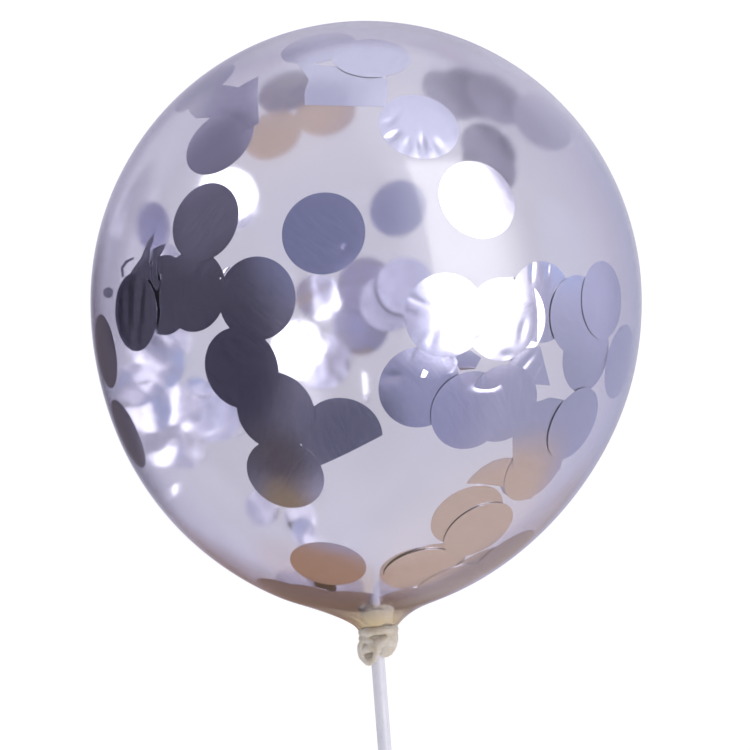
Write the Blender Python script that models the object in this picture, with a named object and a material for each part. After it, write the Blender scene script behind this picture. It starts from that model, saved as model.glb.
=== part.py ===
# Confetti balloon on a stick, lying on its side.
#
# Two separate pieces:
#   balloon  one skin of clear latex, blown up, tied off in a knot whose rolled
#            lip sticks out at the side; a sealed body, so one solid
#   stick    a white plastic tube seated in the knot
#
# Metres, +Z up. The origin is the middle of the small flat on which the
# balloon rests; +Y points along the floor to the crown, +X to the right of
# somebody who looks down on it with the crown away from them. The far end of
# the stick touches the same floor.
#
# The shape is first made in its own axes, with the origin at the middle of
# the widest section: X to the right, A along the axis to the crown, N up out
# of the side that faces the viewer. place() then lays it down.

import math

import bmesh
import bpy
from mathutils import Matrix, Vector

# ---------------------------------------------------------------- dimensions
WIDEST_R = 0.1180          # radius of the widest section
CROWN_H = 0.1199           # widest section to the crown
CROWN_POWER = 2.0          # 2 is an ellipse
BASE_H = 0.1349            # where the lower body alone would close
BASE_POWER_U = 2.04
BASE_POWER_R = 1.775       # under 2 pulls the lower body in, pear-like
RUN_START = 0.1283         # below this height the body runs into the neck
RUN_END = 0.1479           # and the run is over, inside the knot
RUN_R = 0.0076             # radius there
RUN_FLARE = 0.47           # the neck opens again into the knot by this slope
NECK_END = 0.1451          # where the skin stops inside the knot
DRIFT = 0.0018             # the lower body leans this far to -X
DRIFT_SPAN = (0.0253, 0.1096)
NECK_SHIFT = 0.0043        # and the neck is pulled this far to +X
SHIFT_SPAN = (0.1256, 0.1424)

FLAT_R = 0.0180            # radius of the resting flat
SEGMENTS = 64              # round the body
BODY_STEP = 0.0090         # along the profile on the body
NECK_STEP = 0.0023         # along the profile at the neck

KNOT_MID = (0.0047, -0.1463, 0.0)      # the wrapped lump
KNOT_RADII = (0.0078, 0.0071, 0.0074)
LOBE_MID = (0.0085, -0.1455, 0.0010)   # fold that bulges to +X
LOBE_RADII = (0.0046, 0.0069, 0.0062)
BAND_MID = (0.0044, -0.1441, 0.0)      # turn of latex round the neck
BAND_RADII = (0.0079, 0.0026, 0.0083)
BAND_TILT = math.radians(17.0)

LIP_MID = (0.0009, -0.1501, 0.0060)    # rolled lip of the open tail
LIP_RADII = (0.0039, 0.0051)           # across and along
LIP_ROLL = 0.0016
LIP_AIM = (-0.40, -0.22, 0.89)         # the way the mouth faces
TAIL_LENGTH = 0.0061                   # lip back to the lump
MOUTH_DEPTH = 0.0026                   # how deep the mouth is open

STICK_OD = 0.0060
STICK_ID = 0.0048
STICK_LENGTH = 0.3000
STICK_TOP = (0.0043, -0.1461, -0.0008)   # upper end, inside the knot
STICK_LEAN = math.radians(4.4)           # to +X going down
STICK_SIDES = 24
GAP = 0.0003                             # clearance of the socket all round


# ------------------------------------------------------------------- profile
def smooth(t):
    t = min(max(t, 0.0), 1.0)
    return t * t * (3.0 - 2.0 * t)


def lower_body(d):
    """Radius of the lower body, without its neck, at the depth d."""
    return WIDEST_R * max(1.0 - (d / BASE_H) ** BASE_POWER_U, 0.0) ** (1.0 / BASE_POWER_R)


def radius(u):
    """Radius of the body at the height u above the widest section."""
    if u >= 0.0:
        return WIDEST_R * max(1.0 - (u / CROWN_H) ** 2, 0.0) ** (1.0 / CROWN_POWER)
    if -u <= RUN_START:
        return lower_body(-u)
    # a cubic that leaves the body at its own slope and ends at the knot
    h = RUN_END - RUN_START
    t = min((-u - RUN_START) / h, 1.0)
    slope = (lower_body(RUN_START + 1e-5) - lower_body(RUN_START - 1e-5)) / 2e-5
    return ((2 * t ** 3 - 3 * t ** 2 + 1) * lower_body(RUN_START)
            + (t ** 3 - 2 * t ** 2 + t) * h * slope
            + (3 * t ** 2 - 2 * t ** 3) * RUN_R
            + (t ** 3 - t ** 2) * h * RUN_FLARE)


def centre(u):
    """Sideways place of the axis at the height u."""
    low = (-u - DRIFT_SPAN[0]) / (DRIFT_SPAN[1] - DRIFT_SPAN[0])
    neck = (-u - SHIFT_SPAN[0]) / (SHIFT_SPAN[1] - SHIFT_SPAN[0])
    return (DRIFT + NECK_SHIFT) * smooth(neck) - DRIFT * smooth(low)


def stations():
    """Heights of the rings, evenly spaced along the profile, closer at the neck."""
    n = 6000
    dense = []
    for i in range(n + 1):
        t = math.pi / 2.0 * i / n
        dense.append(CROWN_H * math.cos(t))
    for i in range(1, n + 1):
        dense.append(-NECK_END * i / n)
    out = []
    run = 0.0
    last = (radius(dense[0]), dense[0])
    for u in dense[1:]:
        here = (radius(u), u)
        run += math.hypot(here[0] - last[0], here[1] - last[1])
        last = here
        near = smooth((-u - 0.108) / 0.018)
        step = BODY_STEP + (NECK_STEP - BODY_STEP) * near
        if run >= step:
            out.append(u)
            run = 0.0
    if out[-1] - (-NECK_END) < 0.5 * NECK_STEP:
        out.pop()
    out.append(-NECK_END)
    return out


# ------------------------------------------------------------ how it lies down
def lowest(angle):
    """Lowest value of the body's height for an axis raised by angle."""
    best = 0.0
    for i in range(2001):
        u = CROWN_H - (CROWN_H + RUN_START) * i / 2000.0
        best = min(best, u * math.sin(angle) - radius(u) * math.cos(angle))
    return best


def stick_direction():
    return Vector((math.sin(STICK_LEAN), -math.cos(STICK_LEAN), 0.0))


def flat_depth():
    return FLAT_R ** 2 / (2.0 * WIDEST_R)


def stick_clearance(angle):
    """Height of the stick's lowest rim point over the floor."""
    up = Vector((0.0, math.sin(angle), math.cos(angle)))
    d = stick_direction()
    end = Vector(STICK_TOP) + d * STICK_LENGTH
    rise = -lowest(angle) - flat_depth()
    tilt = d.dot(up)
    return rise + end.dot(up) - STICK_OD / 2.0 * math.sqrt(1.0 - tilt * tilt)


def lying_angle():
    """Angle of the axis at which the body's flat and the stick's end both touch."""
    lo, hi = math.radians(5.0), math.radians(30.0)
    for _ in range(60):
        mid = 0.5 * (lo + hi)
        if stick_clearance(mid) > 0.0:
            lo = mid
        else:
            hi = mid
    return 0.5 * (lo + hi)


def place():
    """Matrix from the balloon's own axes to the world."""
    angle = lying_angle()
    rise = -lowest(angle) - flat_depth()
    # the flat is centred under the lowest point of the body
    best, at = 0.0, 0.0
    for i in range(2001):
        u = CROWN_H - (CROWN_H + RUN_START) * i / 2000.0
        z = u * math.sin(angle) - radius(u) * math.cos(angle)
        if z < best:
            best, at = z, u
    forward = at * math.cos(angle) + radius(at) * math.sin(angle)
    turn = Matrix(((1.0, 0.0, 0.0),
                   (0.0, math.cos(angle), -math.sin(angle)),
                   (0.0, math.sin(angle), math.cos(angle)))).to_4x4()
    return Matrix.Translation((-centre(at), -forward, rise)) @ turn


# --------------------------------------------------------------------- helpers
def material(name, colour, roughness, metallic=0.0, alpha=1.0):
    m = bpy.data.materials.new(name)
    m.use_nodes = True
    p = m.node_tree.nodes["Principled BSDF"]
    p.inputs["Base Color"].default_value = (*colour, 1.0)
    p.inputs["Roughness"].default_value = roughness
    p.inputs["Metallic"].default_value = metallic
    p.inputs["Alpha"].default_value = alpha
    m.diffuse_color = (*colour, alpha)
    return m


def finish(name, bm, matrix, mat, guide=False, sharp=30.0):
    bmesh.ops.recalc_face_normals(bm, faces=bm.faces[:])
    mesh = bpy.data.meshes.new(name)
    bm.to_mesh(mesh)
    bm.free()
    mesh.transform(matrix)
    mesh.shade_smooth()
    mesh.set_sharp_from_angle(angle=math.radians(sharp))
    mesh.materials.append(mat)
    ob = bpy.data.objects.new(name, mesh)
    bpy.context.scene.collection.objects.link(ob)
    if guide:
        ob.hide_render = True
        ob.display_type = "WIRE"
    return ob


def ring(bm, points):
    return [bm.verts.new(p) for p in points]


def skin(bm, rings, close_start=True, close_end=True):
    for a, b in zip(rings, rings[1:]):
        n = len(a)
        for i in range(n):
            bm.faces.new((a[i], a[(i + 1) % n], b[(i + 1) % n], b[i]))
    if close_start:
        bm.faces.new(list(reversed(rings[0])))
    if close_end:
        bm.faces.new(rings[-1])


def frame_along(direction, side):
    """Two unit vectors square to direction; the first is as near to side as can be."""
    d = Vector(direction).normalized()
    e1 = Vector(side) - d * Vector(side).dot(d)
    e1.normalize()
    return e1, d.cross(e1)


def ellipsoid(name, mid, radii, matrix, mat, rings=12, sides=24, tilt=0.0, turn=0.0):
    """Its poles lie along the balloon's own axis, tilted in the plane of X and A."""
    bm = bmesh.new()
    bmesh.ops.create_uvsphere(bm, u_segments=sides, v_segments=rings, radius=1.0)
    lean = Matrix.Rotation(tilt, 3, "Z")
    spin = Matrix.Rotation(turn, 3, "Z")
    for v in bm.verts:
        p = spin @ v.co
        p = lean @ Vector((p.x * radii[0], p.z * radii[1], p.y * radii[2]))
        v.co = Vector(mid) + p
    return finish(name, bm, matrix, mat, guide=True)


def torus(name, mid, e1, e2, radii, roll, matrix, mat, around=32, sides=12):
    """A rolled ring; radii are its half widths along e1 and e2."""
    bm = bmesh.new()
    axis = e1.cross(e2)
    loops = []
    for i in range(around):
        t = 2.0 * math.pi * i / around
        spot = Vector(mid) + e1 * (radii[0] * math.cos(t)) + e2 * (radii[1] * math.sin(t))
        out = (e1 * (math.cos(t) / radii[0]) + e2 * (math.sin(t) / radii[1])).normalized()
        loops.append(ring(bm, [spot + out * (roll * math.cos(2.0 * math.pi * k / sides))
                               + axis * (roll * math.sin(2.0 * math.pi * k / sides))
                               for k in range(sides)]))
    skin(bm, loops + [loops[0]], False, False)
    return finish(name, bm, matrix, mat, guide=True)


def oval_loft(name, stations_, e1, e2, matrix, mat, sides=28):
    """A closed loft through ovals, each (middle, half width on e1, on e2)."""
    bm = bmesh.new()
    loops = []
    for mid, a, b in stations_:
        loops.append(ring(bm, [Vector(mid) + e1 * (a * math.cos(2.0 * math.pi * k / sides))
                               + e2 * (b * math.sin(2.0 * math.pi * k / sides))
                               for k in range(sides)]))
    skin(bm, loops)
    return finish(name, bm, matrix, mat, guide=True)


def boolean(ob, other, operation):
    m = ob.modifiers.new(other.name, "BOOLEAN")
    m.operation = operation
    m.solver = "EXACT"
    m.object = other


# ---------------------------------------------------------------------- pieces
def make_body(matrix, mat):
    """The blown-up skin with its neck, cut by the floor where it rests."""
    bm = bmesh.new()
    loops = []
    for u in stations():
        r, c = radius(u), centre(u)
        loops.append(ring(bm, [(c + r * math.sin(2.0 * math.pi * k / SEGMENTS), u,
                                r * math.cos(2.0 * math.pi * k / SEGMENTS))
                               for k in range(SEGMENTS)]))
    crown = bm.verts.new((centre(CROWN_H), CROWN_H, 0.0))
    first = loops[0]
    for i in range(SEGMENTS):
        bm.faces.new((crown, first[(i + 1) % SEGMENTS], first[i]))
    skin(bm, loops, close_start=False)
    bmesh.ops.recalc_face_normals(bm, faces=bm.faces[:])
    bmesh.ops.transform(bm, matrix=matrix, verts=bm.verts[:])
    cut = bmesh.ops.bisect_plane(bm, geom=bm.verts[:] + bm.edges[:] + bm.faces[:],
                                 plane_co=(0.0, 0.0, 0.0), plane_no=(0.0, 0.0, 1.0),
                                 clear_inner=True)
    edge = [e for e in cut["geom_cut"] if isinstance(e, bmesh.types.BMEdge)]
    bmesh.ops.edgenet_fill(bm, edges=edge)
    for v in bm.verts:
        if abs(v.co.z) < 1e-6:
            v.co.z = 0.0
    return finish("balloon", bm, Matrix.Identity(4), mat, sharp=40.0)


def make_knot(matrix, mat):
    """Solids that are joined to the neck to make the knot and its open tail."""
    parts = [ellipsoid("knot_lump", KNOT_MID, KNOT_RADII, matrix, mat, sides=25, turn=0.11),
             ellipsoid("knot_lobe", LOBE_MID, LOBE_RADII, matrix, mat, sides=21, turn=0.05),
             ellipsoid("knot_band", BAND_MID, BAND_RADII, matrix, mat, rings=10, sides=31,
                       tilt=BAND_TILT, turn=0.07)]
    aim = Vector(LIP_AIM).normalized()
    e1, e2 = frame_along(aim, (1.0, 0.0, 0.0))
    mid = Vector(LIP_MID)
    a, b = LIP_RADII
    parts.append(oval_loft("knot_tail", [
        (mid - aim * TAIL_LENGTH, a * 0.62, b * 0.62),
        (mid - aim * TAIL_LENGTH * 0.55, a * 0.80, b * 0.80),
        (mid - aim * TAIL_LENGTH * 0.20, a * 0.97, b * 0.97),
        (mid + aim * LIP_ROLL * 0.25, a, b)], e1, e2, matrix, mat))
    parts.append(torus("knot_lip", mid, e1, e2, LIP_RADII, LIP_ROLL, matrix, mat))
    return parts


def make_cutters(matrix, mat):
    """The open mouth of the tail, and the socket that the stick sits in."""
    aim = Vector(LIP_AIM).normalized()
    e1, e2 = frame_along(aim, (1.0, 0.0, 0.0))
    mid = Vector(LIP_MID)
    a, b = LIP_RADII[0] - LIP_ROLL * 0.75, LIP_RADII[1] - LIP_ROLL * 0.75
    mouth = oval_loft("mouth_cut", [
        (mid - aim * MOUTH_DEPTH, a * 0.35, b * 0.45),
        (mid - aim * MOUTH_DEPTH * 0.5, a * 0.80, b * 0.85),
        (mid - aim * LIP_ROLL * 0.2, a, b),
        (mid + aim * LIP_ROLL * 2.5, a * 1.25, b * 1.2)], e1, e2, matrix, mat, sides=26)
    d = stick_direction()
    e1, e2 = frame_along(d, (0.0, 0.0, 1.0))
    top = Vector(STICK_TOP)
    r = STICK_OD / 2.0 + GAP
    socket = oval_loft("socket_cut", [(top - d * GAP, r, r), (top + d * 0.025, r, r)],
                       e1, e2, matrix, mat, sides=STICK_SIDES)
    return [mouth, socket]


def make_stick(matrix, mat):
    """A plastic tube, open at both ends, with a corner of its lower rim on the floor."""
    d = (matrix.to_3x3() @ stick_direction()).normalized()
    top = matrix @ Vector(STICK_TOP)
    down = Vector((0.0, 0.0, -1.0))
    e1 = (down - d * down.dot(d)).normalized()
    e2 = d.cross(e1)
    bm = bmesh.new()
    loops = []
    # outer wall down, inner wall back up
    for along, r in ((0.0, STICK_OD / 2.0), (STICK_LENGTH, STICK_OD / 2.0),
                     (STICK_LENGTH, STICK_ID / 2.0), (0.0, STICK_ID / 2.0)):
        loops.append(ring(bm, [top + d * along
                               + e1 * (r * math.cos(2.0 * math.pi * k / STICK_SIDES))
                               + e2 * (r * math.sin(2.0 * math.pi * k / STICK_SIDES))
                               for k in range(STICK_SIDES)]))
    skin(bm, loops + [loops[0]], False, False)
    return finish("stick", bm, Matrix.Identity(4), mat, sharp=40.0)


def main():
    for ob in list(bpy.data.objects):
        bpy.data.objects.remove(ob, do_unlink=True)
    latex = material("clear_latex", (0.76, 0.74, 0.82), 0.10, alpha=0.45)
    plastic = material("white_plastic", (0.84, 0.83, 0.87), 0.35)
    matrix = place()
    body = make_body(matrix, latex)
    for part in make_knot(matrix, latex):
        boolean(body, part, "UNION")
    for part in make_cutters(matrix, latex):
        boolean(body, part, "DIFFERENCE")
    make_stick(matrix, plastic)


main()
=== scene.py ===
# Looks of the confetti balloon: a film of clear latex, its tied knot, a white
# plastic stick, and round silver foil confetti that clings inside.
#
# The balloon's own axes: X right, A along the axis to the crown, N out of the
# side that faces the camera, with the origin at the middle of the widest
# section. Everything is made there and laid down with PLACE.

import math
import random

import bmesh
import bpy
import numpy as np
from mathutils import Matrix, Vector, noise


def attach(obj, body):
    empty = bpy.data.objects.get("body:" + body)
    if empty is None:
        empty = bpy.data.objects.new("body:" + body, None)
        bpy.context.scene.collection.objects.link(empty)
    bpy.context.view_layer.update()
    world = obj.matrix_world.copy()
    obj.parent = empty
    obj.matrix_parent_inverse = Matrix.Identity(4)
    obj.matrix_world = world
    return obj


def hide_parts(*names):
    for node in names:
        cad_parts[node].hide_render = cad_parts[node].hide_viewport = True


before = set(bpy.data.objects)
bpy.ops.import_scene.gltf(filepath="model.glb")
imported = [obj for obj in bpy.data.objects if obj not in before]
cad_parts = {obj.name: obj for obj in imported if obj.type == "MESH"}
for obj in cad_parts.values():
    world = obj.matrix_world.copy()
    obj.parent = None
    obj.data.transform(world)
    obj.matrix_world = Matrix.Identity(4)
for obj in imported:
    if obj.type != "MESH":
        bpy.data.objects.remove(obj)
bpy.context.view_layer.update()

# ------------------------------------------------------------ the CAD's shape
WIDEST_R = 0.1180
CROWN_H = 0.1199
BASE_H = 0.1349
BASE_POWER_U = 2.04
BASE_POWER_R = 1.775
RUN_START = 0.1283
RUN_END = 0.1479
RUN_R = 0.0076
RUN_FLARE = 0.47
NECK_END = 0.1451
DRIFT = 0.0018
DRIFT_SPAN = (0.0253, 0.1096)
NECK_SHIFT = 0.0043
SHIFT_SPAN = (0.1256, 0.1424)
FLAT_R = 0.0180
STICK_OD = 0.0060
STICK_ID = 0.0048
STICK_LENGTH = 0.3000
STICK_TOP = (0.0043, -0.1461, -0.0008)
STICK_LEAN = math.radians(4.4)

FILM = 0.00025             # wall of the blown-up film
FOIL = 0.00012             # thickness of a confetti disc
DISC_R = 0.0150            # radius of a confetti disc
EYE = (0.00375, -0.0309, 0.590)   # camera, in the balloon's own axes
FOCAL = 1350.6             # in pixels of a 750 pixel wide picture


def smooth(t):
    t = np.clip(t, 0.0, 1.0)
    return t * t * (3.0 - 2.0 * t)


def lower_body(d):
    return WIDEST_R * np.maximum(1.0 - (np.clip(d, 0.0, BASE_H) / BASE_H) ** BASE_POWER_U,
                                 0.0) ** (1.0 / BASE_POWER_R)


RUN_SLOPE = float((lower_body(RUN_START + 1e-5) - lower_body(RUN_START - 1e-5)) / 2e-5)


def radius(u):
    """Radius of the body at the height u, for numbers and arrays."""
    u = np.asarray(u, float)
    top = WIDEST_R * np.sqrt(np.maximum(1.0 - (np.clip(u, 0.0, None) / CROWN_H) ** 2, 0.0))
    h = RUN_END - RUN_START
    t = np.clip((-u - RUN_START) / h, 0.0, 1.0)
    run = ((2 * t ** 3 - 3 * t ** 2 + 1) * float(lower_body(RUN_START))
           + (t ** 3 - 2 * t ** 2 + t) * h * RUN_SLOPE
           + (3 * t ** 2 - 2 * t ** 3) * RUN_R
           + (t ** 3 - t ** 2) * h * RUN_FLARE)
    low = np.where(-u <= RUN_START, lower_body(np.clip(-u, 0.0, RUN_START)), run)
    return np.where(u >= 0.0, top, low)


def centre(u):
    u = np.asarray(u, float)
    low = (-u - DRIFT_SPAN[0]) / (DRIFT_SPAN[1] - DRIFT_SPAN[0])
    neck = (-u - SHIFT_SPAN[0]) / (SHIFT_SPAN[1] - SHIFT_SPAN[0])
    return (DRIFT + NECK_SHIFT) * smooth(neck) - DRIFT * smooth(low)


def lying():
    """Matrix from the balloon's own axes to the world, found as the CAD finds it."""
    u = CROWN_H - (CROWN_H + RUN_START) * np.arange(2001) / 2000.0
    r = radius(u)
    d = Vector((math.sin(STICK_LEAN), -math.cos(STICK_LEAN), 0.0))
    end = Vector(STICK_TOP) + d * STICK_LENGTH

    def rise(angle):
        return -float((u * math.sin(angle) - r * math.cos(angle)).min()) \
            - FLAT_R ** 2 / (2.0 * WIDEST_R)

    lo, hi = math.radians(5.0), math.radians(30.0)
    for _ in range(60):
        mid = 0.5 * (lo + hi)
        up = Vector((0.0, math.sin(mid), math.cos(mid)))
        t = d.dot(up)
        if rise(mid) + end.dot(up) - STICK_OD / 2.0 * math.sqrt(1.0 - t * t) > 0.0:
            lo = mid
        else:
            hi = mid
    angle = 0.5 * (lo + hi)
    k = int((u * math.sin(angle) - r * math.cos(angle)).argmin())
    forward = u[k] * math.cos(angle) + r[k] * math.sin(angle)
    turn = Matrix(((1.0, 0.0, 0.0),
                   (0.0, math.cos(angle), -math.sin(angle)),
                   (0.0, math.sin(angle), math.cos(angle)))).to_4x4()
    return Matrix.Translation((-float(centre(u[k])), -forward, rise(angle))) @ turn


PLACE = lying()
TURN = np.array(PLACE.to_3x3())
SHIFT = np.array(PLACE.translation)


def to_world(p):
    return np.asarray(p) @ TURN.T + SHIFT


def to_own(p):
    return (np.asarray(p) - SHIFT) @ TURN


def soft_floor(z, low, k=0.0008):
    """z, held above low with a soft corner."""
    h = np.maximum(k - np.abs(z - low), 0.0) / k
    return np.maximum(z, low) + h * h * k / 4.0


# --------------------------------------------------------- distance to the wall
def depth_under(p):
    """Signed distance from the film's outer face, negative inside."""
    x, a, n = p[:, 0], p[:, 1], p[:, 2]
    rho = np.hypot(x - centre(a), n)
    up = np.maximum(a, 0.0)
    g = np.sqrt((rho / WIDEST_R) ** 2 + (up / CROWN_H) ** 2) + 1e-9
    grad = np.sqrt((rho / WIDEST_R ** 2) ** 2 + (up / CROWN_H ** 2) ** 2) / g + 1e-9
    over = (g - 1.0) / grad
    e = 1e-5
    slope = (radius(np.minimum(a + e, 0.0)) - radius(np.minimum(a - e, 0.0))) / (2 * e)
    under = (rho - radius(np.minimum(a, 0.0))) / np.sqrt(1.0 + slope ** 2)
    return np.where(a >= 0.0, over, under)


def outward(p, e=2e-5):
    g = np.stack([(depth_under(p + d) - depth_under(p - d)) / (2 * e)
                  for d in np.eye(3) * e], axis=1)
    return g / np.linalg.norm(g, axis=1)[:, None]


def onto_wall(p, under):
    """Moves points to the depth under below the film's outer face."""
    p = np.array(p, float)
    for _ in range(4):
        p = p - outward(p) * (depth_under(p) + under)[:, None]
    return p


def seen_at(px, py, side, under=FILM):
    """Point of the wall that shows at a pixel, on its near or its far side."""
    d = np.array([(px - 375.0) / FOCAL, (375.0 - py) / FOCAL, -1.0])
    d /= np.linalg.norm(d)
    t = np.linspace(0.40, 0.80, 1601)
    p = np.array(EYE) + d * t[:, None]
    f = depth_under(p) + under
    cross = np.flatnonzero(f[:-1] * f[1:] < 0.0)
    if len(cross) == 0:                      # just outside: the nearest place
        k = int(f.argmin())
        return onto_wall(p[k:k + 1], under)[0]
    k = int(cross[0] if side == "near" else cross[-1])
    lo, hi = t[k], t[k + 1]
    for _ in range(30):
        mid = 0.5 * (lo + hi)
        v = depth_under((np.array(EYE) + d * mid)[None])[0] + under
        if v * f[k] > 0.0:
            lo = mid
        else:
            hi = mid
    return np.array(EYE) + d * lo


# ------------------------------------------------------------------- materials
def new_material(name):
    m = bpy.data.materials.new(name)
    m.use_nodes = True
    m.node_tree.nodes.clear()
    out = m.node_tree.nodes.new("ShaderNodeOutputMaterial")
    p = m.node_tree.nodes.new("ShaderNodeBsdfPrincipled")
    m.node_tree.links.new(p.outputs[0], out.inputs["Surface"])
    return m, m.node_tree, p


def node(nt, kind, **values):
    n = nt.nodes.new(kind)
    for k, v in values.items():
        if k in n.inputs:
            n.inputs[k].default_value = v
        else:
            setattr(n, k, v)
    return n


def ramp(nt, source, stops, smooth_steps=False):
    r = nt.nodes.new("ShaderNodeValToRGB")
    r.color_ramp.interpolation = "EASE" if smooth_steps else "LINEAR"
    e = r.color_ramp.elements
    while len(e) < len(stops):
        e.new(0.5)
    for el, (at, col) in zip(e, stops):
        el.position = at
        el.color = (*col, 1.0) if len(col) == 3 else col
    nt.links.new(source, r.inputs["Fac"])
    return r.outputs["Color"]


def grey(*v):
    return [(at, (c, c, c)) for at, c in v]


def math_node(nt, op, a, b=None, c=None, clamp=False):
    n = nt.nodes.new("ShaderNodeMath")
    n.operation = op
    n.use_clamp = clamp
    for i, v in enumerate((a, b, c)):
        if v is None:
            continue
        if isinstance(v, (int, float)):
            n.inputs[i].default_value = v
        else:
            nt.links.new(v, n.inputs[i])
    return n.outputs[0]


def bump(nt, p, height, strength, distance, normal=None):
    b = node(nt, "ShaderNodeBump", Strength=strength, Distance=distance)
    nt.links.new(height, b.inputs["Height"])
    if normal is not None:
        nt.links.new(normal, b.inputs["Normal"])
    if p is not None:
        nt.links.new(b.outputs[0], p.inputs["Normal"])
    return b.outputs[0]


def along_axis(nt):
    """Height on the balloon's own axis, as a socket, in metres."""
    geo = nt.nodes.new("ShaderNodeNewGeometry")
    dot = node(nt, "ShaderNodeVectorMath", operation="DOT_PRODUCT")
    dot.inputs[1].default_value = tuple(TURN[:, 1])
    nt.links.new(geo.outputs["Position"], dot.inputs[0])
    return math_node(nt, "SUBTRACT", dot.outputs["Value"], float(SHIFT @ TURN[:, 1]))


def film_material():
    m, nt, p = new_material("clear_latex_film")
    p.inputs["Transmission Weight"].default_value = 1.0
    p.inputs["IOR"].default_value = 1.45
    p.inputs["Metallic"].default_value = 0.0
    a = along_axis(nt)
    # faint clouding of the stretched skin, deeper where light runs long through it
    coord = nt.nodes.new("ShaderNodeTexCoord")
    cloud = node(nt, "ShaderNodeTexNoise", Scale=14.0, Detail=3.0, Roughness=0.5)
    nt.links.new(coord.outputs["Object"], cloud.inputs["Vector"])
    skin = ramp(nt, cloud.outputs["Fac"], [(0.3, (0.762, 0.749, 0.818)),
                                           (0.7, (0.774, 0.761, 0.828))])
    deep = ramp(nt, cloud.outputs["Fac"], [(0.3, (0.669, 0.646, 0.768)),
                                           (0.7, (0.683, 0.660, 0.780))])
    glance = node(nt, "ShaderNodeLayerWeight", Blend=0.5)
    long_way = node(nt, "ShaderNodeMapRange", interpolation_type="SMOOTHSTEP")
    long_way.inputs["From Min"].default_value = 0.20
    long_way.inputs["From Max"].default_value = 0.80
    nt.links.new(glance.outputs["Facing"], long_way.inputs["Value"])
    body = node(nt, "ShaderNodeMix", data_type="RGBA")
    nt.links.new(long_way.outputs["Result"], body.inputs[0])
    nt.links.new(skin, body.inputs[6])
    nt.links.new(deep, body.inputs[7])
    # thick cream latex at the neck
    neck = math_node(nt, "MULTIPLY_ADD", a, -62.0, -7.45, clamp=True)
    mix = node(nt, "ShaderNodeMix", data_type="RGBA")
    nt.links.new(neck, mix.inputs[0])
    nt.links.new(body.outputs[2], mix.inputs[6])
    mix.inputs[7].default_value = (0.74, 0.66, 0.52, 1.0)
    nt.links.new(mix.outputs[2], p.inputs["Base Color"])
    fine = node(nt, "ShaderNodeTexNoise", Scale=220.0, Detail=2.0, Roughness=0.5)
    nt.links.new(coord.outputs["Object"], fine.inputs["Vector"])
    rough = ramp(nt, fine.outputs["Fac"], grey((0.3, 0.070), (0.7, 0.095)))
    nt.links.new(rough, p.inputs["Roughness"])
    bump(nt, p, cloud.outputs["Fac"], 0.06, 0.0008)
    return m


def knot_material():
    m, nt, p = new_material("tied_latex")
    coord = nt.nodes.new("ShaderNodeTexCoord")
    big = node(nt, "ShaderNodeTexNoise", Scale=170.0, Detail=3.0, Roughness=0.55)
    nt.links.new(coord.outputs["Object"], big.inputs["Vector"])
    col = ramp(nt, big.outputs["Fac"], [(0.30, (0.58, 0.49, 0.37)),
                                        (0.50, (0.68, 0.62, 0.53)),
                                        (0.72, (0.72, 0.67, 0.61))])
    nt.links.new(col, p.inputs["Base Color"])
    p.inputs["Subsurface Weight"].default_value = 0.35
    p.inputs["Subsurface Radius"].default_value = (1.0, 0.8, 0.5)
    p.inputs["Subsurface Scale"].default_value = 0.002
    fine = node(nt, "ShaderNodeTexNoise", Scale=900.0, Detail=3.0, Roughness=0.6)
    nt.links.new(coord.outputs["Object"], fine.inputs["Vector"])
    rough = ramp(nt, fine.outputs["Fac"], grey((0.3, 0.26), (0.7, 0.44)))
    nt.links.new(rough, p.inputs["Roughness"])
    bump(nt, p, fine.outputs["Fac"], 0.25, 0.0003)
    return m


def stick_material():
    m, nt, p = new_material("white_stick_plastic")
    coord = nt.nodes.new("ShaderNodeTexCoord")
    # drawn lines along the tube: noise that is long in Y
    stretch = node(nt, "ShaderNodeMapping")
    stretch.inputs["Scale"].default_value = (900.0, 14.0, 900.0)
    nt.links.new(coord.outputs["Object"], stretch.inputs["Vector"])
    lines = node(nt, "ShaderNodeTexNoise", Scale=1.0, Detail=3.0, Roughness=0.6)
    nt.links.new(stretch.outputs[0], lines.inputs["Vector"])
    cloud = node(nt, "ShaderNodeTexNoise", Scale=60.0, Detail=4.0, Roughness=0.6)
    nt.links.new(coord.outputs["Object"], cloud.inputs["Vector"])
    col = ramp(nt, cloud.outputs["Fac"], [(0.3, (0.77, 0.76, 0.825)), (0.7, (0.84, 0.83, 0.89))])
    nt.links.new(col, p.inputs["Base Color"])
    rough = ramp(nt, lines.outputs["Fac"], grey((0.3, 0.24), (0.7, 0.38)))
    nt.links.new(rough, p.inputs["Roughness"])
    p.inputs["Subsurface Weight"].default_value = 0.2
    p.inputs["Subsurface Radius"].default_value = (1.0, 1.0, 1.0)
    p.inputs["Subsurface Scale"].default_value = 0.001
    bump(nt, p, lines.outputs["Fac"], 0.12, 0.0002)
    return m


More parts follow.
